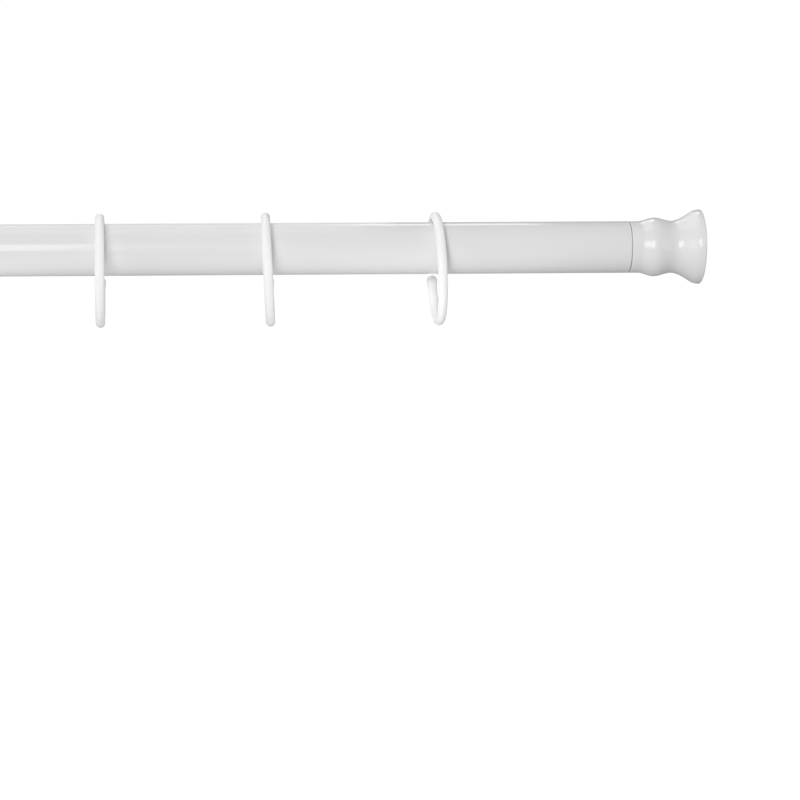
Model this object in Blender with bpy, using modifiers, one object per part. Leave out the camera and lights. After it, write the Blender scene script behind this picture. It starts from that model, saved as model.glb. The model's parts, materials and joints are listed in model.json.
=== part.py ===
"""A spring-tension curtain rod with flared wall feet and twelve open curtain rings.

Metres, +Z up, +X along the rod towards the right-hand wall, +Y away from the room.
The origin is the centre of the right foot's wall face, on the rod's axis.

The inner tube slides in the outer tube. A cam ring on an eccentric journal grips the
outer tube's bore when the inner tube is twisted, and a coil spring round a square guide
rod then pushes the inner tube out against the left-hand wall.
"""
import math

import bmesh
import bpy
import numpy as np
from mathutils import Matrix, Vector

# Clearance between pieces that touch or slide
GAP = 0.0003
# How far a cutter stands past what it cuts
OVERCUT = 0.001

# Tubes
OUTER_RADIUS = 0.0127
OUTER_BORE_RADIUS = 0.0119
INNER_RADIUS = 0.0111
INNER_BORE_RADIUS = 0.0103
OUTER_LEFT_X = -1.130
INNER_VISIBLE = 0.110

# Wall feet: a collar, a bulge, a waist and a flare, as (distance from the seam, radius)
FOOT_LENGTH = 0.0358
FOOT_OUTLINE = (
    (0.0000, 0.01270),
    (0.0036, 0.01270),
    (0.0054, 0.01279),
    (0.0086, 0.01372),
    (0.0126, 0.01447),
    (0.0170, 0.01353),
    (0.0212, 0.01284),
    (0.0254, 0.01411),
    (0.0294, 0.01641),
    (0.0321, 0.01792),
    (0.0345, 0.01837),
)
OUTLINE_STEPS = 2
RIM_FILLET = 0.0009
RIM_ARC_STEPS = 3
RIM_FACE = 0.0354
PAD_RADIUS = 0.0153
PAD_SEAT_DEPTH = 0.0337
SPIGOT_LENGTH = 0.025
SPIGOT_WALL = 0.0022
FOOT_CORE_DEPTH = 0.030

# Grip pads: rings moulded in the rubber round a flat middle
PAD_MIDDLE_RADIUS = 0.0040
PAD_RIBS = 3
PAD_GROOVE_DEPTH = 0.0006
PAD_GROOVE_WIDTH = 0.0012

# Trim collar over the outer tube's cut end
COLLAR_LENGTH = 0.018
COLLAR_LIP = 0.002
COLLAR_WALL = 0.0010
COLLAR_LIP_RADIUS = 0.01185
COLLAR_EDGE = 0.0005

# Twist lock: the journal's axis stands this far above the rod's axis
CAM_OFFSET = 0.00045
FLANGE_X = -0.284
FLANGE_WIDTH = 0.004
FLANGE_RADIUS = 0.0108
NECK_RADIUS = 0.0066
NECK_LENGTH = 0.016
JOURNAL_RADIUS = 0.0070
JOURNAL_LENGTH = 0.0136
CAM_RING_WIDTH = 0.013
CAM_RING_RADIUS = 0.0116
CAM_RING_SLOT = 0.0022
LOCK_WASHER_RADIUS = 0.0092
LOCK_WASHER_THICKNESS = 0.0012
SCREW_SHANK_RADIUS = 0.0017
SCREW_LENGTH = 0.010
SCREW_HEAD_RADIUS = 0.0038
SCREW_HEAD_HEIGHT = 0.0026
SCREW_RECESS = 0.0011
SCREW_TIP = 0.001
# Shares of the head's radius and height: its domed top, and the recess's arms and depth
HEAD_CROWN = ((0.55, 1.0), (0.9, 0.65), (1.0, 0.2))
RECESS_REACH = 0.6
RECESS_DEPTH = 0.5

# Spring and its square guide rod
SPRING_TRAVEL = 0.030
SPRING_LENGTH = 0.150
SPRING_TURNS = 15
SPRING_POINTS_PER_TURN = 8
SPRING_MEAN_RADIUS = 0.0083
SPRING_WIRE_RADIUS = 0.0009
ROD_SIDE = 0.006
ROD_STUB_RADIUS = 0.0022
ROD_STUB_LENGTH = 0.007
ROD_SOCKET_DEPTH = 0.014
PIN_RADIUS = 0.0011
PIN_SIDES = 16
SEAT_LENGTH = 0.012
STOP_WASHER_RADIUS = 0.0072
STOP_WASHER_THICKNESS = 0.0014
STOP_NUT_RADIUS = 0.0046
STOP_NUT_THICKNESS = 0.0036

# Curtain rings: an open ring of round strand with ball ends, hung on the rod. Every three
# rings repeat the shifts along the rod, yaws and tilts that hanging by hand leaves.
RING_COUNT = 12
RING_FIRST_X = -0.1317
RING_SPACING = 0.0821
RING_RADIUS = 0.0256
STRAND_RADIUS = 0.0023
BALL_RADIUS = 0.0027
RING_SEGMENTS = 18
RING_OPENING_DEG = (-8.0, 20.0)
RING_SHIFTS = (0.0, -0.0011, 0.0)
RING_YAWS_DEG = (3.2, 2.2, 7.2)
RING_TILTS_DEG = (2.0, 2.1, -0.7)
RING_HANG_GAP = 0.0004

ROUND_SIDES = 32
SMALL_SIDES = 24
SHARP_ANGLE = math.radians(35)

# Places that follow from the sizes above
SEAM_X = -FOOT_LENGTH
LIP_LEFT_X = OUTER_LEFT_X - COLLAR_LIP - GAP
LEFT_SEAM_X = LIP_LEFT_X - INNER_VISIBLE
INNER_RIGHT_X = FLANGE_X - SPRING_TRAVEL - 0.004
SEAT_X = FLANGE_X - SPRING_LENGTH - 2 * GAP
ROD_LEFT_X = SEAT_X - SEAT_LENGTH - GAP
JOURNAL_X = FLANGE_X + FLANGE_WIDTH


def new_collection(name):
    """A collection of this name under the scene's own."""
    collection = bpy.data.collections.new(name)
    bpy.context.scene.collection.children.link(collection)
    return collection


def material(name, colour, roughness, metallic=0.0):
    """A Principled material."""
    made = bpy.data.materials.new(name)
    made.use_nodes = True
    shader = made.node_tree.nodes["Principled BSDF"]
    shader.inputs["Base Color"].default_value = (*colour, 1.0)
    shader.inputs["Roughness"].default_value = roughness
    shader.inputs["Metallic"].default_value = metallic
    return made


def add_object(name, data, finish):
    """A part in the object's collection, with its own material."""
    obj = bpy.data.objects.new(name, data)
    PARTS.objects.link(obj)
    obj.data.materials.append(finish)
    return obj


def settle(obj):
    """Turn an object's modifiers into plain mesh and shade its round faces smooth."""
    graph = bpy.context.evaluated_depsgraph_get()
    mesh = bpy.data.meshes.new_from_object(obj.evaluated_get(graph))
    obj.modifiers.clear()
    obj.data = mesh
    mesh.shade_smooth()
    mesh.set_sharp_from_angle(angle=SHARP_ANGLE)
    return obj


def turned(name, profile, finish, sides=ROUND_SIDES, closed=False, x=0.0, facing=1):
    """A turned piece on the rod's axis.

    profile lists (distance along the axis, radius) down the outer side. facing is 1 where
    distances grow towards +X and -1 where they grow towards -X.
    """
    mesh = bpy.data.meshes.new(name)
    points = [(radius, 0.0, along) for along, radius in profile]
    edges = [(i, i + 1) for i in range(len(points) - 1)]
    if closed:
        edges.append((len(points) - 1, 0))
    mesh.from_pydata(points, edges, [])
    obj = add_object(name, mesh, finish)
    obj.location = (x, 0.0, 0.0)
    obj.rotation_euler = (0.0, facing * math.pi / 2, 0.0)
    screw = obj.modifiers.new("Turn", "SCREW")
    screw.axis = "Z"
    screw.angle = 2 * math.pi
    screw.steps = sides
    screw.render_steps = sides
    screw.use_merge_vertices = True
    screw.merge_threshold = 0.00001
    return settle(obj)


def cylinder(name, radius, x_low, x_high, z=0.0, sides=ROUND_SIDES):
    """A cylinder along X as a bare mesh object, not yet in a collection."""
    mesh = bpy.data.meshes.new(name)
    work = bmesh.new()
    lie_down = Matrix.Rotation(math.pi / 2, 4, "Y")
    middle = Matrix.Translation(((x_low + x_high) / 2, 0.0, z))
    bmesh.ops.create_cone(
        work,
        cap_ends=True,
        segments=sides,
        radius1=radius,
        radius2=radius,
        depth=x_high - x_low,
        matrix=middle @ lie_down,
    )
    work.to_mesh(mesh)
    work.free()
    return bpy.data.objects.new(name, mesh)


def block(name, low, high):
    """A box between two corners as a bare mesh object, not yet in a collection."""
    mesh = bpy.data.meshes.new(name)
    work = bmesh.new()
    low, high = Vector(low), Vector(high)
    size = Matrix.Diagonal((*(high - low), 1.0))
    bmesh.ops.create_cube(work, size=1.0, matrix=Matrix.Translation((low + high) / 2) @ size)
    work.to_mesh(mesh)
    work.free()
    return bpy.data.objects.new(name, mesh)


def as_part(obj, finish):
    """Put a bare mesh object among the parts."""
    PARTS.objects.link(obj)
    obj.data.materials.append(finish)
    return obj


def combine(obj, tools, operation):
    """Cut the tools from a part, or join them to it."""
    for tool in tools:
        CUTTERS.objects.link(tool)
        tool.hide_render = True
        tool.display_type = "WIRE"
        change = obj.modifiers.new(tool.name, "BOOLEAN")
        change.operation = operation
        change.solver = "EXACT"
        change.object = tool
    return settle(obj)


def smooth_outline(points, steps):
    """Points on a natural cubic spline through the given ones."""
    along, radius = np.array(points).T
    spans = np.diff(along)
    slopes = np.diff(radius) / spans
    system = np.eye(len(along))
    bends = np.zeros(len(along))
    for i in range(1, len(along) - 1):
        system[i, i - 1 : i + 2] = spans[i - 1], 2 * (spans[i - 1] + spans[i]), spans[i]
        bends[i] = 6 * (slopes[i] - slopes[i - 1])
    second = np.linalg.solve(system, bends)
    curve = []
    for i, span in enumerate(spans):
        for step in range(steps):
            t = step / steps
            u = 1 - t
            height = u * radius[i] + t * radius[i + 1]
            height += span**2 / 6 * ((u**3 - u) * second[i] + (t**3 - t) * second[i + 1])
            curve.append((float(along[i] + span * t), float(height)))
    return curve + [points[-1]]


def foot_profile(spigot_radius):
    """The foot's section from the pad seat round the rim and flare to the core's end."""
    flare = smooth_outline(FOOT_OUTLINE, OUTLINE_STEPS)
    centre_along = RIM_FACE - RIM_FILLET
    centre_radius = FOOT_OUTLINE[-1][1] - RIM_FILLET
    rim = []
    for step in range(RIM_ARC_STEPS):
        angle = math.pi / 2 * step / RIM_ARC_STEPS
        rim.append(
            (
                centre_along + RIM_FILLET * math.cos(angle),
                centre_radius + RIM_FILLET * math.sin(angle),
            )
        )
    seat = [
        (PAD_SEAT_DEPTH, 0.0),
        (PAD_SEAT_DEPTH, PAD_RADIUS + GAP),
        (RIM_FACE, PAD_RADIUS + GAP),
    ]
    core_radius = spigot_radius - SPIGOT_WALL
    spigot = [
        (0.0, spigot_radius),
        (-SPIGOT_LENGTH, spigot_radius),
        (-SPIGOT_LENGTH, core_radius),
        (FOOT_CORE_DEPTH, core_radius),
        (FOOT_CORE_DEPTH, 0.0),
    ]
    return seat + rim + flare[::-1] + spigot


def pad_profile():
    """The grip pad's section: a flat middle, then rings between grooves."""
    back = PAD_SEAT_DEPTH + GAP
    profile = [(FOOT_LENGTH, 0.0), (FOOT_LENGTH, PAD_MIDDLE_RADIUS)]
    pitch = (PAD_RADIUS - PAD_MIDDLE_RADIUS) / PAD_RIBS
    for rib in range(PAD_RIBS):
        groove = PAD_MIDDLE_RADIUS + rib * pitch
        floor = FOOT_LENGTH - PAD_GROOVE_DEPTH
        profile += [
            (floor, groove + PAD_GROOVE_WIDTH / 4),
            (floor, groove + PAD_GROOVE_WIDTH),
            (FOOT_LENGTH, groove + PAD_GROOVE_WIDTH * 1.25),
        ]
        if rib < PAD_RIBS - 1:
            profile.append((FOOT_LENGTH, groove + pitch))
    return profile + [(FOOT_LENGTH, PAD_RADIUS), (back, PAD_RADIUS), (back, 0.0)]


def wall_foot(side, seam_x, facing, spigot_radius):
    """A moulded foot and the rubber pad in its face."""
    turned(f"{side}_foot", foot_profile(spigot_radius), FOOT, x=seam_x, facing=facing)
    turned(f"{side}_foot_pad", pad_profile(), PAD, SMALL_SIDES, x=seam_x, facing=facing)


def tube(name, radius, bore, x_low, x_high, finish):
    """A plain round tube along X."""
    section = [(x_high, bore), (x_high, radius), (x_low, radius), (x_low, bore)]
    return turned(name, section, finish, closed=True)


def mouth_collar():
    """The trim collar that hides the outer tube's cut end and steadies the inner tube."""
    right = OUTER_LEFT_X + COLLAR_LENGTH
    bore = OUTER_RADIUS + GAP
    outside = bore + COLLAR_WALL
    section = [
        (right, bore),
        (right, outside - COLLAR_EDGE),
        (right - COLLAR_EDGE, outside),
        (LIP_LEFT_X + COLLAR_EDGE, outside),
        (LIP_LEFT_X, outside - COLLAR_EDGE),
        (LIP_LEFT_X, COLLAR_LIP_RADIUS),
        (OUTER_LEFT_X - GAP, COLLAR_LIP_RADIUS),
        (OUTER_LEFT_X - GAP, bore),
    ]
    turned("mouth_collar", section, FOOT, closed=True)


def cam_spindle():
    """The spindle: a neck, a thrust flange and the eccentric journal."""
    neck_x = FLANGE_X - NECK_LENGTH
    section = [
        (JOURNAL_X, 0.0),
        (JOURNAL_X, FLANGE_RADIUS),
        (FLANGE_X, FLANGE_RADIUS),
        (FLANGE_X, NECK_RADIUS),
        (neck_x, NECK_RADIUS),
        (neck_x, 0.0),
    ]
    spindle = turned("cam_spindle", section, NYLON)
    journal_right = JOURNAL_X + JOURNAL_LENGTH
    overlap = FLANGE_WIDTH / 2
    journal = cylinder(
        "journal", JOURNAL_RADIUS, JOURNAL_X - overlap, journal_right, CAM_OFFSET
    )
    combine(spindle, [journal], "UNION")
    half = ROD_SIDE / 2 + GAP
    socket = block(
        "rod_socket",
        (neck_x - OVERCUT, -half, -half),
        (neck_x + ROD_SOCKET_DEPTH + GAP, half, half),
    )
    pilot = cylinder(
        "screw_pilot",
        SCREW_SHANK_RADIUS + GAP,
        journal_right - SCREW_LENGTH,
        journal_right + OVERCUT,
        CAM_OFFSET,
        SMALL_SIDES,
    )
    combine(spindle, [socket, pilot, pin_shape("pin_hole", GAP)], "DIFFERENCE")


def pin_shape(name, clearance):
    """The cross pin through the spindle's neck and the guide rod, or its hole."""
    recess = OVERCUT if clearance else -OVERCUT
    length = 2 * (NECK_RADIUS + recess)
    radius = PIN_RADIUS + clearance
    mesh = bpy.data.meshes.new(name)
    work = bmesh.new()
    middle = Matrix.Translation((FLANGE_X - NECK_LENGTH / 2, 0.0, 0.0))
    bmesh.ops.create_cone(
        work,
        cap_ends=True,
        segments=PIN_SIDES,
        radius1=radius,
        radius2=radius,
        depth=length,
        matrix=middle @ Matrix.Rotation(math.pi / 2, 4, "X"),
    )
    work.to_mesh(mesh)
    work.free()
    return bpy.data.objects.new(name, mesh)


def cam_ring():
    """The split ring that the journal pushes against the outer tube's bore."""
    left = JOURNAL_X + GAP
    right = left + CAM_RING_WIDTH
    ring = as_part(cylinder("cam_ring", CAM_RING_RADIUS, left, right), NYLON_GREY)
    bore = cylinder(
        "cam_bore", JOURNAL_RADIUS + GAP, left - OVERCUT, right + OVERCUT, CAM_OFFSET
    )
    half = CAM_RING_SLOT / 2
    slot = block(
        "cam_slot",
        (left - OVERCUT, -half, JOURNAL_RADIUS / 2),
        (right + OVERCUT, half, CAM_RING_RADIUS + OVERCUT),
    )
    combine(ring, [bore, slot], "DIFFERENCE")


def washer(name, radius, bore, x_low, thickness, z=0.0):
    """A flat washer across the rod's axis."""
    x_high = x_low + thickness
    ring = as_part(cylinder(name, radius, x_low, x_high, z, SMALL_SIDES), ZINC)
    hole = cylinder(
        f"{name}_hole", bore, x_low - OVERCUT, x_high + OVERCUT, z, SMALL_SIDES
    )
    combine(ring, [hole], "DIFFERENCE")


def lock_fasteners():
    """The washer and cross-head screw that hold the cam ring on its journal."""
    washer_x = JOURNAL_X + JOURNAL_LENGTH + GAP
    bore = SCREW_SHANK_RADIUS + GAP
    washer(
        "lock_washer", LOCK_WASHER_RADIUS, bore, washer_x, LOCK_WASHER_THICKNESS, CAM_OFFSET
    )
    under_head = washer_x + LOCK_WASHER_THICKNESS + GAP
    top = under_head + SCREW_HEAD_HEIGHT
    tip = under_head - SCREW_LENGTH
    section = [
        (top, 0.0),
        *(
            (under_head + SCREW_HEAD_HEIGHT * rise, SCREW_HEAD_RADIUS * reach)
            for reach, rise in HEAD_CROWN
        ),
        (under_head, SCREW_HEAD_RADIUS),
        (under_head, SCREW_SHANK_RADIUS),
        (tip + SCREW_TIP, SCREW_SHANK_RADIUS),
        (tip, 0.0),
    ]
    screw = turned("lock_screw", section, ZINC, SMALL_SIDES)
    screw.location.z = CAM_OFFSET
    arm, slit = SCREW_HEAD_RADIUS * RECESS_REACH, SCREW_RECESS / 2
    floor, above = top - SCREW_HEAD_HEIGHT * RECESS_DEPTH, top + OVERCUT
    tools = [
        block(
            "recess_up",
            (floor, -slit, CAM_OFFSET - arm),
            (above, slit, CAM_OFFSET + arm),
        ),
        block(
            "recess_across",
            (floor, -arm, CAM_OFFSET - slit),
            (above, arm, CAM_OFFSET + slit),
        ),
    ]
    combine(screw, tools, "DIFFERENCE")


def guide_rod():
    """The square rod from the spindle through the spring and the seat, with its stub."""
    half = ROD_SIDE / 2
    right = FLANGE_X - NECK_LENGTH + ROD_SOCKET_DEPTH
    rod = as_part(block("guide_rod", (ROD_LEFT_X, -half, -half), (right, half, half)), ZINC)
    stub = cylinder(
        "rod_stub",
        ROD_STUB_RADIUS,
        ROD_LEFT_X - ROD_STUB_LENGTH,
        ROD_LEFT_X + OVERCUT,
        sides=SMALL_SIDES,
    )
    combine(rod, [stub], "UNION")
    combine(rod, [pin_shape("rod_pin_hole", GAP)], "DIFFERENCE")
    as_part(pin_shape("rod_pin", 0.0), ZINC)


def stop_fasteners():
    """The washer and nut on the guide rod's stub that stop the spring's travel."""
    washer_x = ROD_LEFT_X - GAP - STOP_WASHER_THICKNESS
    bore = ROD_STUB_RADIUS + GAP
    washer("stop_washer", STOP_WASHER_RADIUS, bore, washer_x, STOP_WASHER_THICKNESS)
    nut_x = washer_x - GAP - STOP_NUT_THICKNESS
    nut = as_part(
        cylinder("stop_nut", STOP_NUT_RADIUS, nut_x, nut_x + STOP_NUT_THICKNESS, sides=6),
        ZINC,
    )
    thread = cylinder(
        "nut_thread",
        bore,
        nut_x - OVERCUT,
        nut_x + STOP_NUT_THICKNESS + OVERCUT,
        sides=SMALL_SIDES,
    )
    combine(nut, [thread], "DIFFERENCE")


def spring_seat():
    """The plug fixed in the inner tube that slides on the guide rod."""
    left = SEAT_X - SEAT_LENGTH
    seat = as_part(cylinder("spring_seat", INNER_BORE_RADIUS - GAP, left, SEAT_X), NYLON)
    half = ROD_SIDE / 2 + GAP
    hole = block(
        "seat_hole", (left - OVERCUT, -half, -half), (SEAT_X + OVERCUT, half, half)
    )
    combine(seat, [hole], "DIFFERENCE")


def poly_curve(name, points, radii, depth, finish):
    """A round wire along points, with filled caps and a radius factor at each point."""
    curve = bpy.data.curves.new(name, "CURVE")
    curve.dimensions = "3D"
    curve.bevel_depth = depth
    curve.bevel_resolution = 2
    curve.use_fill_caps = True
    spline = curve.splines.new("POLY")
    spline.points.add(len(points) - 1)
    for point, place, factor in zip(spline.points, points, radii):
        point.co = (*place, 1.0)
        point.radius = factor
    spline.use_smooth = True
    return add_object(name, curve, finish)


def compression_spring():
    """The coil spring between the spindle's flange and the seat."""
    count = SPRING_TURNS * SPRING_POINTS_PER_TURN
    span = SPRING_LENGTH - 2 * SPRING_WIRE_RADIUS - 2 * GAP
    start = SEAT_X + GAP + SPRING_WIRE_RADIUS
    points = []
    for step in range(count + 1):
        turn = 2 * math.pi * step / SPRING_POINTS_PER_TURN
        points.append(
            (
                start + span * step / count,
                SPRING_MEAN_RADIUS * math.cos(turn),
                SPRING_MEAN_RADIUS * math.sin(turn),
            )
        )
    radii = [1.0] * len(points)
    poly_curve("compression_spring", points, radii, SPRING_WIRE_RADIUS, STEEL)


def ring_route():
    """Points round the open ring about its own centre, and a radius factor at each.

    The ring lies across X. Its opening is at the back, between two angles above +Y, and
    each end swells into a ball.
    """
    low, high = (math.radians(angle) for angle in RING_OPENING_DEG)
    ball_angle = BALL_RADIUS / RING_RADIUS
    start, end = low - ball_angle, high - 2 * math.pi + ball_angle
    steps = [start + (end - start) * i / RING_SEGMENTS for i in range(RING_SEGMENTS + 1)]
    ball = [(0.98, 0.2), (0.87, 0.5), (0.5, 0.87), (0.0, 1.0), (-0.6, 0.93)]
    factor = BALL_RADIUS / STRAND_RADIUS
    first = [(start + ball_angle * out, factor * size) for out, size in ball]
    last = [(end - ball_angle * out, factor * size) for out, size in ball[::-1]]
    middle = [(angle, 1.0) for angle in steps[1:-1]]
    route = first + middle + last
    points = [
        (0.0, RING_RADIUS * math.cos(angle), RING_RADIUS * math.sin(angle))
        for angle, _ in route
    ]
    return points, [size for _, size in route]


def curtain_rings():
    """Twelve rings, each hung from the top of the rod with its own shift, yaw and tilt."""
    hang = OUTER_RADIUS + RING_HANG_GAP
    drop = Vector((0.0, 0.0, STRAND_RADIUS - RING_RADIUS))
    points, radii = ring_route()
    points = [Vector(point) + drop for point in points]
    for index in range(RING_COUNT):
        group, place = divmod(index, len(RING_SHIFTS))
        x = RING_FIRST_X - index * RING_SPACING + RING_SHIFTS[place]
        yaw = math.radians(RING_YAWS_DEG[place])
        tilt = math.radians(RING_TILTS_DEG[place])
        if group % 2:
            tilt = -tilt
        ring = poly_curve(
            f"curtain_ring_{index + 1:02d}", points, radii, STRAND_RADIUS, RING
        )
        ring.location = (x, 0.0, hang)
        ring.rotation_euler = (0.0, -tilt, yaw)


for old in list(bpy.data.objects):
    bpy.data.objects.remove(old)

PARTS = new_collection("spring_tension_curtain_rod")
CUTTERS = new_collection("cutters")

ENAMEL = material("white_enamel", (0.83, 0.84, 0.83), 0.22)
FOOT = material("white_gloss_plastic", (0.84, 0.84, 0.84), 0.25)
RING = material("white_satin_plastic", (0.88, 0.88, 0.88), 0.38)
PAD = material("white_rubber", (0.80, 0.80, 0.79), 0.65)
NYLON = material("natural_nylon", (0.78, 0.76, 0.70), 0.50)
NYLON_GREY = material("grey_nylon", (0.35, 0.36, 0.37), 0.50)
STEEL = material("spring_steel", (0.46, 0.46, 0.47), 0.35, 1.0)
ZINC = material("zinc_plate", (0.66, 0.67, 0.69), 0.32, 1.0)

tube("outer_tube", OUTER_RADIUS, OUTER_BORE_RADIUS, OUTER_LEFT_X, SEAM_X - GAP, ENAMEL)
tube(
    "inner_tube", INNER_RADIUS, INNER_BORE_RADIUS, LEFT_SEAM_X + GAP, INNER_RIGHT_X, ENAMEL
)
wall_foot("right", SEAM_X, 1, OUTER_BORE_RADIUS - GAP)
wall_foot("left", LEFT_SEAM_X, -1, INNER_BORE_RADIUS - GAP)
mouth_collar()
cam_spindle()
cam_ring()
lock_fasteners()
guide_rod()
stop_fasteners()
spring_seat()
compression_spring()
curtain_rings()
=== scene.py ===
"""The looks of the spring-tension curtain rod: fine meshes, materials, studio and camera."""

import json
import math

import bmesh
import bpy
import numpy as np
from mathutils import Matrix, Vector


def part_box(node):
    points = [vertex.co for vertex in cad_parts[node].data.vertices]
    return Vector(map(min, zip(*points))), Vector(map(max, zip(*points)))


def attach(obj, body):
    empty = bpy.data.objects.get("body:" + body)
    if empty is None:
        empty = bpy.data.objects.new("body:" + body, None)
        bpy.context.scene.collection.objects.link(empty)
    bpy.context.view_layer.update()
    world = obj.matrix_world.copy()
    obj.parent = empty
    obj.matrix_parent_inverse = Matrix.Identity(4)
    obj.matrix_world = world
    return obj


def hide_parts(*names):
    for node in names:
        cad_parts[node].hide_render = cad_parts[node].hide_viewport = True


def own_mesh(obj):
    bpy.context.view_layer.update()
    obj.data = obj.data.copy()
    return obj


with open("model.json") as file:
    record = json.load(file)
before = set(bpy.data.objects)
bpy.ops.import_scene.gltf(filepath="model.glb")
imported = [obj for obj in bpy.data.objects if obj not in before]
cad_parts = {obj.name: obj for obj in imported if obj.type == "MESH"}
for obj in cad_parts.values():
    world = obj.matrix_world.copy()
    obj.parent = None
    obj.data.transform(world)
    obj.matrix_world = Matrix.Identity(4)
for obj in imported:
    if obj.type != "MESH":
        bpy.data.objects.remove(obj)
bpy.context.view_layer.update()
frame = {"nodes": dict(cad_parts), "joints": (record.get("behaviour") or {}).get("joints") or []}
NODES = frame["nodes"]
MM = 0.001

# ---------------------------------------------------------------- sizes shared with the CAD
GAP = 0.0003
OUTER_BORE_RADIUS = 0.0119
INNER_BORE_RADIUS = 0.0103
COLLAR_LIP_RADIUS = 0.01185
# A wall foot's outer side as (distance from the seam with the tube, radius).
FOOT_OUTLINE = (
    (0.0000, 0.01270),
    (0.0036, 0.01270),
    (0.0054, 0.01279),
    (0.0086, 0.01372),
    (0.0126, 0.01447),
    (0.0170, 0.01353),
    (0.0212, 0.01284),
    (0.0254, 0.01411),
    (0.0294, 0.01641),
    (0.0321, 0.01792),
    (0.0345, 0.01837),
)
FOOT_LENGTH = 0.0358
RIM_FACE = 0.0354
RIM_FILLET = 0.0009
PAD_RADIUS = 0.0153
PAD_SEAT_DEPTH = 0.0337
PAD_MIDDLE_RADIUS = 0.0040
PAD_RIBS = 3
PAD_GROOVE_DEPTH = 0.0006
SPIGOT_WALL = 0.0022
SPIGOT_LENGTH = 0.025
FOOT_CORE_DEPTH = 0.030
RING_RADIUS = 0.0256
STRAND_RADIUS = 0.0023
BALL_RADIUS = 0.0027
RING_OPENING_DEG = (-8.0, 20.0)
SPRING_MEAN_RADIUS = 0.0083
SPRING_WIRE_RADIUS = 0.0009
SPRING_TURNS = 15

# ---------------------------------------------------------------- fineness of the meshes
SIDES = 160
ARC_STEPS = 6
RIM_STEPS = 10
OUTLINE_STEPS = 10
TUBE_STEPS = 24
PAD_STEPS = 48
GROOVE_STEPS = 8
RING_STEPS = 150
CAP_STEPS = 10
NECK_STEPS = 8
STRAND_SIDES = 24
SPRING_STEPS_PER_TURN = 40
WIRE_SIDES = 12
SHARP_ANGLE = math.radians(32)


# ================================================================ mesh tools
def scene_object(name, data):
    """A new object that holds data, linked into the scene."""
    obj = bpy.data.objects.new(name, data)
    bpy.context.scene.collection.objects.link(obj)
    return obj


def mesh_object(name, vertices, faces, finish):
    """A smooth-shaded mesh piece in the scene, with one material."""
    mesh = bpy.data.meshes.new(name)
    mesh.from_pydata(vertices, [], faces)
    mesh.materials.append(finish)
    mesh.validate()
    mesh.shade_smooth()
    mesh.set_sharp_from_angle(angle=SHARP_ANGLE)
    return scene_object(name, mesh)


def lathe(name, outline, finish, closed=False):
    """A turned piece about the X axis. outline is (x, radius) from the right end, down the
    outer side to the left; a closed one comes back along the bore."""
    vertices, faces, rows = [], [], []
    for x, radius in outline:
        first = len(vertices)
        if radius == 0.0:
            vertices.append((x, 0.0, 0.0))
            rows.append([first] * SIDES)
            continue
        for side in range(SIDES):
            angle = 2 * math.pi * side / SIDES
            vertices.append((x, radius * math.sin(angle), radius * math.cos(angle)))
        rows.append(list(range(first, first + SIDES)))
    pairs = list(zip(rows, rows[1:]))
    if closed:
        pairs.append((rows[-1], rows[0]))
    for upper, lower in pairs:
        for side in range(SIDES):
            after = (side + 1) % SIDES
            corners = [upper[side], lower[side], lower[after], upper[after]]
            face = [c for i, c in enumerate(corners) if c not in corners[:i]]
            if len(face) > 2:
                faces.append(face)
    return mesh_object(name, vertices, faces, finish)


def arc(centre, radius, start_deg, end_deg, steps=ARC_STEPS):
    """Points (x, radius) on an arc; 0 degrees points along +X, 90 away from the axis."""
    points = []
    for step in range(steps + 1):
        angle = math.radians(start_deg + (end_deg - start_deg) * step / steps)
        points.append(
            (centre[0] + radius * math.cos(angle), centre[1] + radius * math.sin(angle))
        )
    return points


def smooth_outline(points, steps):
    """Points on a natural cubic spline through the given ones."""
    along, radius = np.array(points).T
    spans = np.diff(along)
    slopes = np.diff(radius) / spans
    system = np.eye(len(along))
    bends = np.zeros(len(along))
    for i in range(1, len(along) - 1):
        system[i, i - 1 : i + 2] = spans[i - 1], 2 * (spans[i - 1] + spans[i]), spans[i]
        bends[i] = 6 * (slopes[i] - slopes[i - 1])
    second = np.linalg.solve(system, bends)
    curve = []
    for i, span in enumerate(spans):
        for step in range(steps):
            t = step / steps
            u = 1 - t
            height = u * radius[i] + t * radius[i + 1]
            height += span**2 / 6 * ((u**3 - u) * second[i] + (t**3 - t) * second[i + 1])
            curve.append((float(along[i] + span * t), float(height)))
    return curve + [points[-1]]


def swept(name, places, ups, sections, finish):
    """A tube through places. ups are directions across the path, and sections holds one
    list of (angle from up, distance) for each place. The ends are closed by fans."""
    vertices, faces, rows = [], [], []
    count = len(places)
    for index in range(count):
        ahead = places[min(index + 1, count - 1)] - places[max(index - 1, 0)]
        ahead.normalize()
        up = ups[index] - ahead * ups[index].dot(ahead)
        up.normalize()
        side = ahead.cross(up)
        first = len(vertices)
        for angle, distance in sections[index]:
            offset = up * (distance * math.cos(angle)) + side * (distance * math.sin(angle))
            vertices.append(tuple(places[index] + offset))
        rows.append(list(range(first, first + len(sections[index]))))
    for near, far in zip(rows, rows[1:]):
        for i in range(len(near)):
            j = (i + 1) % len(near)
            faces.append([near[i], near[j], far[j], far[i]])
    for row, place, flip in ((rows[0], places[0], True), (rows[-1], places[-1], False)):
        tip = len(vertices)
        vertices.append(tuple(place))
        for i in range(len(row)):
            j = (i + 1) % len(row)
            faces.append([tip, row[j], row[i]] if flip else [tip, row[i], row[j]])
    return mesh_object(name, vertices, faces, finish)


# ================================================================ material tools
# A noise's Factor sits round a half, and nearly all of it between these two.
NOISE_LOW, NOISE_HIGH = 0.3, 0.7


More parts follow.
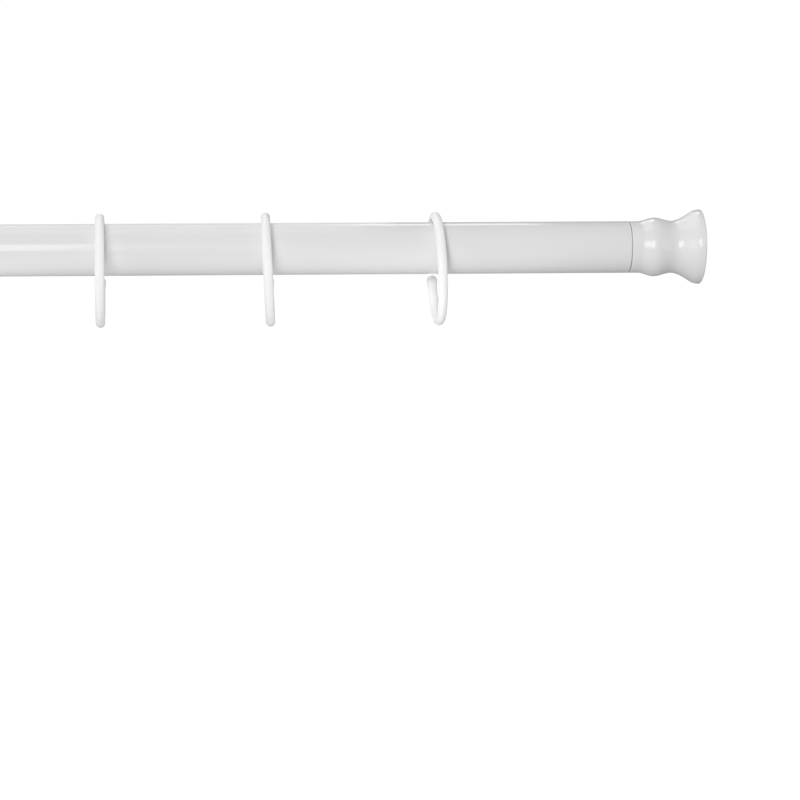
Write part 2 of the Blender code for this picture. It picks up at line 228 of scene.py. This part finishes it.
def shader_tree(name):
    """A new node material: (material, its Principled shader, a node adder, a linker)."""
    made = bpy.data.materials.new(name)
    made.use_nodes = True
    tree = made.node_tree
    shader = tree.nodes["Principled BSDF"]

    def add(kind, **values):
        node = tree.nodes.new(kind)
        for key, value in values.items():
            if key in node.inputs:
                node.inputs[key].default_value = value
            else:
                setattr(node, key, value)
        return node

    return made, shader, add, tree.links.new


def noise(add, link, coordinates, scale, stretch=(1, 1, 1), detail=3.0):
    """The Factor output of a noise at scale cells a metre, stretched per axis."""
    mapping = add("ShaderNodeMapping", Scale=stretch)
    link(coordinates, mapping.inputs["Vector"])
    texture = add("ShaderNodeTexNoise", Scale=scale, Detail=detail)
    link(mapping.outputs["Vector"], texture.inputs["Vector"])
    return texture.outputs["Fac"]


def spread(add, link, factor, low, high):
    """A noise's factor spread over low to high."""
    ranged = add("ShaderNodeMapRange")
    ranged.inputs["From Min"].default_value = NOISE_LOW
    ranged.inputs["From Max"].default_value = NOISE_HIGH
    ranged.inputs["To Min"].default_value = low
    ranged.inputs["To Max"].default_value = high
    link(factor, ranged.inputs["Value"])
    return ranged.outputs["Result"]


def tint(add, link, factor, dark, light):
    """A colour between two, following a noise's factor."""
    ramp = add("ShaderNodeValToRGB")
    for element, position, colour in zip(
        ramp.color_ramp.elements, (NOISE_LOW, NOISE_HIGH), (dark, light)
    ):
        element.position = position
        element.color = (*colour, 1.0)
    link(factor, ramp.inputs["Fac"])
    return ramp.outputs["Color"]


def bumps(add, link, shader, layers):
    """Chain bump nodes: each layer is (height output, strength, depth in metres)."""
    normal = None
    for height, strength, depth in layers:
        bump = add("ShaderNodeBump", Strength=strength, Distance=depth)
        link(height, bump.inputs["Height"])
        if normal is not None:
            link(normal, bump.inputs["Normal"])
        normal = bump.outputs["Normal"]
    link(normal, shader.inputs["Normal"])


def white_enamel():
    """Baked enamel on rolled tube: orange peel, faint drawing lines, a clear gloss."""
    made, shader, add, link = shader_tree("white_enamel")
    place = add("ShaderNodeTexCoord").outputs["Object"]
    cloud = noise(add, link, place, 14.0, (0.4, 1, 1))
    colour = tint(add, link, cloud, (0.736, 0.744, 0.736), (0.766, 0.77, 0.763))
    link(colour, shader.inputs["Base Color"])
    mottle = noise(add, link, place, 220.0)
    link(spread(add, link, mottle, 0.10, 0.15), shader.inputs["Roughness"])
    peel = noise(add, link, place, 260.0, detail=2.0)
    lines = noise(add, link, place, 260.0, (0.02, 1, 1), detail=2.0)
    bumps(add, link, shader, [(lines, 0.2, 0.00002), (peel, 0.15, 0.00002)])
    return made


def gloss_plastic():
    """Injection-moulded white plastic with a polished skin and faint flow clouds."""
    made, shader, add, link = shader_tree("white_gloss_plastic")
    place = add("ShaderNodeTexCoord").outputs["Object"]
    cloud = noise(add, link, place, 60.0)
    colour = tint(add, link, cloud, (0.755, 0.755, 0.755), (0.785, 0.785, 0.785))
    link(colour, shader.inputs["Base Color"])
    mottle = noise(add, link, place, 500.0)
    link(spread(add, link, mottle, 0.14, 0.18), shader.inputs["Roughness"])
    skin = noise(add, link, place, 1500.0, detail=2.0)
    bumps(add, link, shader, [(skin, 0.08, 0.00001)])
    shader.inputs["Specular IOR Level"].default_value = 0.7
    return made


def satin_plastic():
    """Satin white plastic of the curtain rings, slightly translucent."""
    made, shader, add, link = shader_tree("white_satin_plastic")
    place = add("ShaderNodeTexCoord").outputs["Object"]
    cloud = noise(add, link, place, 120.0)
    colour = tint(add, link, cloud, (0.885, 0.885, 0.89), (0.915, 0.915, 0.917))
    link(colour, shader.inputs["Base Color"])
    mottle = noise(add, link, place, 900.0)
    link(spread(add, link, mottle, 0.34, 0.44), shader.inputs["Roughness"])
    skin = noise(add, link, place, 2600.0, detail=2.0)
    bumps(add, link, shader, [(skin, 0.15, 0.00001)])
    shader.inputs["Subsurface Weight"].default_value = 0.15
    shader.inputs["Subsurface Radius"].default_value = (0.0012, 0.0011, 0.0010)
    shader.inputs["Subsurface Scale"].default_value = 1.0
    return made


def white_rubber():
    """Matt white rubber with a fine grain and a little bloom."""
    made, shader, add, link = shader_tree("white_rubber")
    place = add("ShaderNodeTexCoord").outputs["Object"]
    cloud = noise(add, link, place, 150.0, detail=5.0)
    colour = tint(add, link, cloud, (0.66, 0.66, 0.645), (0.74, 0.74, 0.73))
    link(colour, shader.inputs["Base Color"])
    grain = noise(add, link, place, 3000.0)
    link(spread(add, link, grain, 0.58, 0.78), shader.inputs["Roughness"])
    bumps(add, link, shader, [(grain, 0.35, 0.00003)])
    return made


def nylon(name, dark, light):
    """Matt machined nylon with fine turning rings round X."""
    made, shader, add, link = shader_tree(name)
    place = add("ShaderNodeTexCoord").outputs["Object"]
    cloud = noise(add, link, place, 180.0, detail=4.0)
    link(tint(add, link, cloud, dark, light), shader.inputs["Base Color"])
    turning = noise(add, link, place, 2500.0, (1, 0.02, 0.02), detail=2.0)
    link(spread(add, link, turning, 0.42, 0.6), shader.inputs["Roughness"])
    bumps(add, link, shader, [(turning, 0.3, 0.00002)])
    return made


def metal(name, dark, light, rough, stretch):
    """Bright metal, rough from one value to another, whose grain is stretched per axis."""
    made, shader, add, link = shader_tree(name)
    place = add("ShaderNodeTexCoord").outputs["Object"]
    patch = noise(add, link, place, 350.0, detail=4.0)
    link(tint(add, link, patch, dark, light), shader.inputs["Base Color"])
    grain = noise(add, link, place, 2200.0, stretch)
    link(spread(add, link, grain, *rough), shader.inputs["Roughness"])
    bumps(add, link, shader, [(grain, 0.25, 0.00001)])
    shader.inputs["Metallic"].default_value = 1.0
    return made


ENAMEL = white_enamel()
FOOT = gloss_plastic()
RING = satin_plastic()
PAD = white_rubber()
NYLON = nylon("natural_nylon", (0.66, 0.63, 0.54), (0.76, 0.73, 0.65))
NYLON_GREY = nylon("grey_nylon", (0.24, 0.25, 0.26), (0.34, 0.35, 0.36))
STEEL = metal("spring_steel", (0.36, 0.36, 0.37), (0.50, 0.50, 0.51), (0.28, 0.45), (1, 1, 1))
ZINC = metal("zinc_plate", (0.56, 0.57, 0.60), (0.72, 0.73, 0.74), (0.24, 0.42), (0.1, 1, 1))


# ================================================================ pieces
def finish_piece(obj, node, body):
    """A piece that stands for a CAD node and rides on its body."""
    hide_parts(node)
    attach(obj, body)


def tube_piece(node, body, bore_radius):
    """A round tube with rolled edges, as long and as wide as its CAD node."""
    low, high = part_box(node)
    radius = high.z
    edge = 0.3 * MM
    outline = arc((high.x - edge, radius - edge), edge, 0, 90)
    for step in range(1, TUBE_STEPS):
        outline.append((high.x + (low.x - high.x) * step / TUBE_STEPS, radius))
    outline += arc((low.x + edge, radius - edge), edge, 90, 180)
    outline += [(low.x, bore_radius), (high.x, bore_radius)]
    piece = lathe(f"{node}_shell", outline, ENAMEL, closed=True)
    finish_piece(piece, node, body)


def foot_outline(spigot_radius):
    """The moulded foot's fine section as (distance from the seam, radius), from the middle
    of the pad's seat round the rim and down to the spigot inside the tube."""
    rim = (RIM_FACE - RIM_FILLET, FOOT_OUTLINE[-1][1] - RIM_FILLET)
    seat_radius = PAD_RADIUS + GAP
    collar = FOOT_OUTLINE[0][1]
    lead = 0.25 * MM
    outline = [(PAD_SEAT_DEPTH, 0.0), (PAD_SEAT_DEPTH, seat_radius)]
    outline += [(RIM_FACE - lead, seat_radius), (RIM_FACE, seat_radius + lead)]
    outline += arc(rim, RIM_FILLET, 0, 90, RIM_STEPS)[:-1]
    flare = smooth_outline(FOOT_OUTLINE, OUTLINE_STEPS)[::-1]
    outline += [point for point in flare if point[0] > lead]
    outline += arc((lead, collar - lead), lead, 90, 180)
    core = spigot_radius - SPIGOT_WALL
    edge = 0.6 * MM
    outline += [
        (0.0, spigot_radius),
        (edge - SPIGOT_LENGTH, spigot_radius),
        (-SPIGOT_LENGTH, spigot_radius - edge),
        (-SPIGOT_LENGTH, core),
        (FOOT_CORE_DEPTH, core),
        (FOOT_CORE_DEPTH, 0.0),
    ]
    return outline


def pad_outline():
    """The rubber pad's section: a flat middle, then rounded rings between grooves."""
    back = PAD_SEAT_DEPTH + GAP
    span = PAD_RADIUS - PAD_MIDDLE_RADIUS
    edge = 0.3 * MM
    outline = [(FOOT_LENGTH, 0.0), (FOOT_LENGTH, PAD_MIDDLE_RADIUS)]
    for step in range(1, PAD_STEPS):
        share = step / PAD_STEPS
        dip = math.sqrt(max(0.0, math.sin(2 * math.pi * PAD_RIBS * share)))
        outline.append((FOOT_LENGTH - PAD_GROOVE_DEPTH * dip, PAD_MIDDLE_RADIUS + span * share))
    outline += arc((FOOT_LENGTH - edge, PAD_RADIUS - edge), edge, 0, 90)
    return outline + [(back, PAD_RADIUS), (back, 0.0)]


def wall_foot(side, body, facing, spigot_radius):
    """A foot and its pad. facing is 1 towards +X and -1 towards -X."""
    low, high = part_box(f"{side}_foot_pad")
    face = high.x if facing > 0 else low.x
    seam = face - facing * FOOT_LENGTH
    for part, outline, finish, slot in (
        ("foot", foot_outline(spigot_radius), FOOT, "white_gloss_plastic"),
        ("foot_pad", pad_outline(), PAD, "white_rubber"),
    ):
        points = [(seam + facing * along, radius) for along, radius in outline]
        piece = lathe(f"{side}_{part}_moulding", points, finish)
        if facing < 0:
            # The mirrored outline winds the other way, so its faces are turned back out.
            piece.data.flip_normals()
        finish_piece(piece, f"{side}_{part}", body)


def mouth_collar():
    """The trim collar with rounded edges and three fine grip grooves."""
    low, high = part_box("mouth_collar")
    tube_low, tube_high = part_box("outer_tube")
    radius, bore = high.z, tube_high.z + GAP
    lip_right = tube_low.x - GAP
    middle = (low.x + high.x) / 2
    edge = 0.45 * MM
    width, depth, pitch = 1.1 * MM, 0.35 * MM, 2.6 * MM
    outline = arc((high.x - edge, radius - edge), edge, 0, 90)
    for groove in (1, 0, -1):
        centre = middle + groove * pitch
        for step in range(GROOVE_STEPS + 1):
            share = step / GROOVE_STEPS
            dip = depth * math.sin(math.pi * share) ** 2
            outline.append((centre + width * (0.5 - share), radius - dip))
    outline += arc((low.x + edge, radius - edge), edge, 90, 180)
    outline += arc((low.x + edge, COLLAR_LIP_RADIUS + edge), edge, 180, 270)
    outline += [(lip_right, COLLAR_LIP_RADIUS), (lip_right, bore), (high.x, bore)]
    piece = lathe("mouth_collar_moulding", outline, FOOT, closed=True)
    finish_piece(piece, "mouth_collar", "outer")


def ring_frame(node):
    """A CAD ring's centre and the directions in its plane: backwards and up."""
    points = np.array([v.co for v in NODES[node].data.vertices], float)
    mean = points.mean(0)
    across = Vector(np.linalg.svd(points - mean)[2][2])
    if across.x < 0:
        across = -across
    back = (Vector((0, 1, 0)) - across * across.y).normalized()
    up = across.cross(back)
    flat = np.array([[(Vector(p) - Vector(mean)).dot(d) for d in (back, up)] for p in points])
    circle = np.c_[2 * flat, np.ones(len(flat))]
    fit = np.linalg.lstsq(circle, (flat**2).sum(1), rcond=None)[0]
    return Vector(mean) + back * fit[0] + up * fit[1], back, up


def ring_profile():
    """The strand as (angle round the ring from the back, its radius there), from one ball
    end to the other."""
    low, high = (math.radians(angle) for angle in RING_OPENING_DEG)
    ball = BALL_RADIUS / RING_RADIUS
    start, end = low - ball, high - 2 * math.pi + ball
    tip_radius = 0.02 * MM
    neck = 1.6 * ball
    half = []
    for step in range(CAP_STEPS + 1):
        turn = math.pi / 2 * step / CAP_STEPS
        size = max(BALL_RADIUS * math.sin(turn), tip_radius)
        half.append((start + ball * math.cos(turn), size))
    for step in range(1, NECK_STEPS + 1):
        share = step / NECK_STEPS
        swell = (BALL_RADIUS - STRAND_RADIUS) * (0.5 + 0.5 * math.cos(math.pi * share))
        half.append((start - neck * share, STRAND_RADIUS + swell))
    mirror = [(start + end - angle, size) for angle, size in reversed(half)]
    first, last = half[-1][0], mirror[0][0]
    middle = [
        (first + (last - first) * step / RING_STEPS, STRAND_RADIUS)
        for step in range(1, RING_STEPS)
    ]
    return half + middle + mirror


def strand_section(size):
    """A round section with a hair of flash where the mould halves met."""
    flash = 0.03 * MM * size / STRAND_RADIUS
    half_width = math.radians(3)
    section = []
    for step in range(STRAND_SIDES):
        angle = 2 * math.pi * step / STRAND_SIDES
        if step % (STRAND_SIDES // 2) == 0:
            section += [(angle - half_width, size), (angle, size + flash)]
            section.append((angle + half_width, size))
        else:
            section.append((angle, size))
    return section


def curtain_ring(node, body):
    """An open ring of round strand with ball ends and a fine parting line."""
    centre, back, up = ring_frame(node)
    places, ups, sections = [], [], []
    for angle, size in ring_profile():
        outward = back * math.cos(angle) + up * math.sin(angle)
        places.append(centre + outward * RING_RADIUS)
        ups.append(outward)
        sections.append(strand_section(size))
    piece = swept(f"{node}_moulding", places, ups, sections, RING)
    finish_piece(piece, node, body)


def compression_spring():
    """The round-wire spring, its turns a little closer towards both ends."""
    low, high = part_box("compression_spring")
    wire = SPRING_WIRE_RADIUS
    count = SPRING_TURNS * SPRING_STEPS_PER_TURN
    span = high.x - low.x - 2 * wire
    # How far a turn is drawn towards its end, as a share of the spring's length.
    closing = 0.035
    section = [(2 * math.pi * i / WIRE_SIDES, wire) for i in range(WIRE_SIDES)]
    places, ups = [], []
    for step in range(count + 1):
        share = step / count
        eased = share - closing * math.sin(2 * math.pi * share)
        turn = 2 * math.pi * step / SPRING_STEPS_PER_TURN
        outward = Vector((0.0, math.cos(turn), math.sin(turn)))
        axis_point = Vector((low.x + wire + span * eased, 0, 0))
        places.append(axis_point + outward * SPRING_MEAN_RADIUS)
        ups.append(outward)
    sections = [section] * len(places)
    piece = swept("compression_spring_wire", places, ups, sections, STEEL)
    finish_piece(piece, "compression_spring", "lock_spindle")
    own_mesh(piece)


def dress_node(node, finish, bevel):
    """Keep a CAD node, with softened edges and a finished material."""
    obj = NODES[node]
    obj.data.materials.clear()
    obj.data.materials.append(finish)
    soften = obj.modifiers.new("edges", "BEVEL")
    soften.width = bevel
    soften.segments = 2
    soften.limit_method = "ANGLE"
    soften.angle_limit = math.radians(40)
    soften.use_clamp_overlap = True


tube_piece("outer_tube", "outer", OUTER_BORE_RADIUS)
tube_piece("inner_tube", "inner", INNER_BORE_RADIUS)
wall_foot("right", "outer", 1, OUTER_BORE_RADIUS - GAP)
wall_foot("left", "inner", -1, INNER_BORE_RADIUS - GAP)
mouth_collar()
compression_spring()
for joint in frame["joints"]:
    if joint["name"].startswith("ring_"):
        body = joint["child"]
        curtain_ring(f"curtain_{body}", body)
for node, finish, bevel in (
    ("cam_spindle", NYLON, 0.2 * MM),
    ("spring_seat", NYLON, 0.2 * MM),
    ("cam_ring", NYLON_GREY, 0.2 * MM),
    ("guide_rod", ZINC, 0.15 * MM),
    ("rod_pin", ZINC, 0.1 * MM),
    ("stop_washer", ZINC, 0.1 * MM),
    ("stop_nut", ZINC, 0.15 * MM),
    ("lock_washer", ZINC, 0.1 * MM),
    ("lock_screw", ZINC, 0.08 * MM),
):
    dress_node(node, finish, bevel)


# ================================================================ studio
FLOOR_Z = -1.95
FLOOR_RADIUS = 7.0
BACKDROP_RADIUS = 12.0
# The glow that the Standard view shows as pure white.
WHITE_GLOW = 1.02


def primitive(name, build, **sizes):
    """A stage object whose mesh is made by one bmesh operator."""
    mesh = bpy.data.meshes.new(name)
    work = bmesh.new()
    build(work, **sizes)
    work.to_mesh(mesh)
    work.free()
    obj = scene_object(name, mesh)
    return obj


def hide_from(obj, *rays):
    """Keep an object out of these kinds of light path."""
    for ray in rays:
        setattr(obj, f"visible_{ray}", False)


def floor():
    """The pale floor, which pales to the backdrop's white towards its edge and is left out
    of the rod's light and reflections."""
    circle = bmesh.ops.create_circle
    disc = primitive("floor", circle, cap_ends=True, segments=96, radius=FLOOR_RADIUS)
    disc.location.z = FLOOR_Z
    hide_from(disc, "diffuse", "glossy")
    made, shader, add, link = shader_tree("floor")
    place = add("ShaderNodeTexCoord").outputs["Object"]
    grain = noise(add, link, place, 40.0, detail=4.0)
    colour = tint(add, link, grain, (0.86, 0.86, 0.86), (0.88, 0.88, 0.88))
    link(colour, shader.inputs["Base Color"])
    shader.inputs["Roughness"].default_value = 0.8
    distance = add("ShaderNodeVectorMath", operation="LENGTH")
    link(place, distance.inputs[0])
    fade = add("ShaderNodeMapRange")
    fade.inputs["From Min"].default_value = FLOOR_RADIUS * 0.25
    fade.inputs["From Max"].default_value = FLOOR_RADIUS * 0.7
    fade.inputs["To Min"].default_value = 0.4
    link(distance.outputs["Value"], fade.inputs["Value"])
    glow = add("ShaderNodeEmission", Color=(1, 1, 1, 1), Strength=WHITE_GLOW)
    mix = add("ShaderNodeMixShader")
    link(fade.outputs["Result"], mix.inputs[0])
    link(shader.outputs[0], mix.inputs[1])
    link(glow.outputs[0], mix.inputs[2])
    link(mix.outputs[0], made.node_tree.nodes["Material Output"].inputs["Surface"])
    disc.data.materials.append(made)


def backdrop():
    """A white dome seen only by the camera, so the studio lights alone shape the rod."""
    sphere = bmesh.ops.create_uvsphere
    dome = primitive("backdrop", sphere, u_segments=64, v_segments=32, radius=BACKDROP_RADIUS)
    hide_from(dome, "diffuse", "glossy", "transmission", "volume_scatter", "shadow")
    made, shader, add, link = shader_tree("backdrop_white")
    made.node_tree.nodes.remove(shader)
    glow = add("ShaderNodeEmission", Strength=WHITE_GLOW)
    link(glow.outputs[0], made.node_tree.nodes["Material Output"].inputs["Surface"])
    dome.data.materials.append(made)


def studio_world(level):
    """A soft even surround that fills the shadows."""
    world = bpy.data.worlds.new("studio")
    bpy.context.scene.world = world
    world.use_nodes = True
    ground = world.node_tree.nodes["Background"]
    ground.inputs["Color"].default_value = (1.0, 1.0, 1.0, 1.0)
    ground.inputs["Strength"].default_value = level


def area_light(name, place, target, size, radiance, sees="both"):
    """A softbox of the given radiance, unseen by the camera. sees says whether it lights
    "diffuse" surfaces only, makes "glossy" reflections only, or "both"."""
    light = bpy.data.lights.new(name, "AREA")
    light.shape = "RECTANGLE"
    light.size, light.size_y = size
    light.energy = radiance * math.pi * size[0] * size[1]
    lamp = scene_object(name, light)
    lamp.location = place
    aim = Vector(target) - Vector(place)
    lamp.rotation_euler = aim.to_track_quat("-Z", "Y").to_euler()
    lamp.visible_camera = False
    lamp.visible_diffuse = sees != "glossy"
    lamp.visible_glossy = sees != "diffuse"


def overhead(name, low, high, z, radiance):
    """A softbox facing straight down, between two corners seen in plan."""
    middle = ((low[0] + high[0]) / 2, (low[1] + high[1]) / 2)
    size = (high[0] - low[0], high[1] - low[1])
    area_light(name, (*middle, z), (*middle, 0.0), size, radiance)


# What the lights aim at: the rod in view, its right foot, its middle and its two ends.
ROD_IN_VIEW = (-0.20, 0.0, 0.0)
FOOT_IN_VIEW = (-0.02, 0.0, 0.0)
ROD_MIDDLE = (-0.64, 0.0, 0.0)
RIGHT_END = (0.0, 0.0, 0.0)
LEFT_END = (-1.28, 0.0, 0.0)


def window_lights():
    """A left-hand window: its light, and the tall panes that the gloss reflects."""
    rod, foot = ROD_IN_VIEW, FOOT_IN_VIEW
    area_light("key", (-0.26, -0.71, 0.09), rod, (0.11, 0.11), 40.0, "diffuse")
    area_light("window", (-0.86, -2.86, 0.57), rod, (0.72, 1.5), 6.6, "diffuse")
    area_light("pane_right", (-1.00, -2.91, 0.62), foot, (0.50, 1.4), 3.2, "glossy")
    area_light("pane_middle", (-1.38, -2.65, 0.58), foot, (0.36, 1.3), 2.2, "glossy")
    area_light("pane_left", (-1.66, -2.48, 0.58), foot, (0.28, 1.0), 5.5, "glossy")
    area_light("pane_high", (-0.55, -2.91, 0.96), rod, (0.22, 0.28), 0.9, "glossy")
    area_light("pane_low", (-0.60, -2.91, 0.20), rod, (0.12, 0.40), 0.9, "glossy")


def panel_lights():
    """Soft panels in front, behind, beside both ends and overhead."""
    area_light("left", (-2.6, -1.4, 0.3), ROD_IN_VIEW, (1.4, 1.4), 0.95)
    area_light("right", (1.8, -1.4, 0.3), ROD_IN_VIEW, (1.4, 1.4), 0.65)
    area_light("back_left", (-1.15, 1.6, 1.2), (-1.15, 0.0, 1.2), (2.1, 1.6), 0.6)
    area_light("back", (-0.64, 2.6, 0.05), ROD_MIDDLE, (2.4, 1.2), 2.3, "diffuse")
    area_light("back_strip", (-0.64, 2.6, 0.02), ROD_MIDDLE, (2.8, 0.16), 3.0, "glossy")
    area_light("right_end", (1.5, 0.05, 0.1), RIGHT_END, (1.2, 1.2), 1.6, "diffuse")
    area_light("left_end", (-3.3, 0.05, 0.1), LEFT_END, (1.6, 1.6), 1.6, "diffuse")
    overhead("top_left", (-1.3, -0.3), (-0.15, 1.2), 1.2, 1.0)
    overhead("top_right", (-0.2, 0.7), (0.1, 1.3), 1.2, 2.3)


def cloth_lights():
    """The light thrown up by pale cloth hanging below the rod, and by its folds and edge."""
    for name, x, y, z, size, radiance in (
        ("cloth", -0.67, -0.02, -0.20, (1.1, 0.10), 1.0),
        ("fold_near", -0.17, -0.03, -0.10, (0.10, 0.06), 0.7),
        ("fold_far", -0.42, -0.03, -0.10, (0.16, 0.06), 0.9),
    ):
        area_light(name, (x, y, z), (x, 0.0, 0.0), size, radiance, "diffuse")
    edge = (-0.13, -0.05, -0.10)
    area_light("cloth_edge", edge, FOOT_IN_VIEW, (0.06, 0.14), 0.46, "diffuse")


def photo_camera():
    """A long lens level with the rod, left of its right foot and tipped slightly down."""
    camera = bpy.data.cameras.new("camera")
    camera.lens = 77.4
    camera.sensor_width = 36.0
    camera.clip_start = 0.01
    distance, aside = 0.850, -0.1784
    pitch, yaw, roll = math.radians(5.04), math.radians(1.95), math.radians(0.319)
    turn = (
        Matrix.Rotation(-yaw, 4, "Z")
        @ Matrix.Rotation(math.pi / 2 - pitch, 4, "X")
        @ Matrix.Rotation(-roll, 4, "Z")
    )
    lens = scene_object("camera", camera)
    lens.matrix_world = Matrix.Translation((aside, -distance, 0.0)) @ turn
    bpy.context.scene.camera = lens


floor()
backdrop()
studio_world(0.35)
window_lights()
panel_lights()
cloth_lights()
photo_camera()
bpy.context.scene.view_settings.view_transform = "Standard"
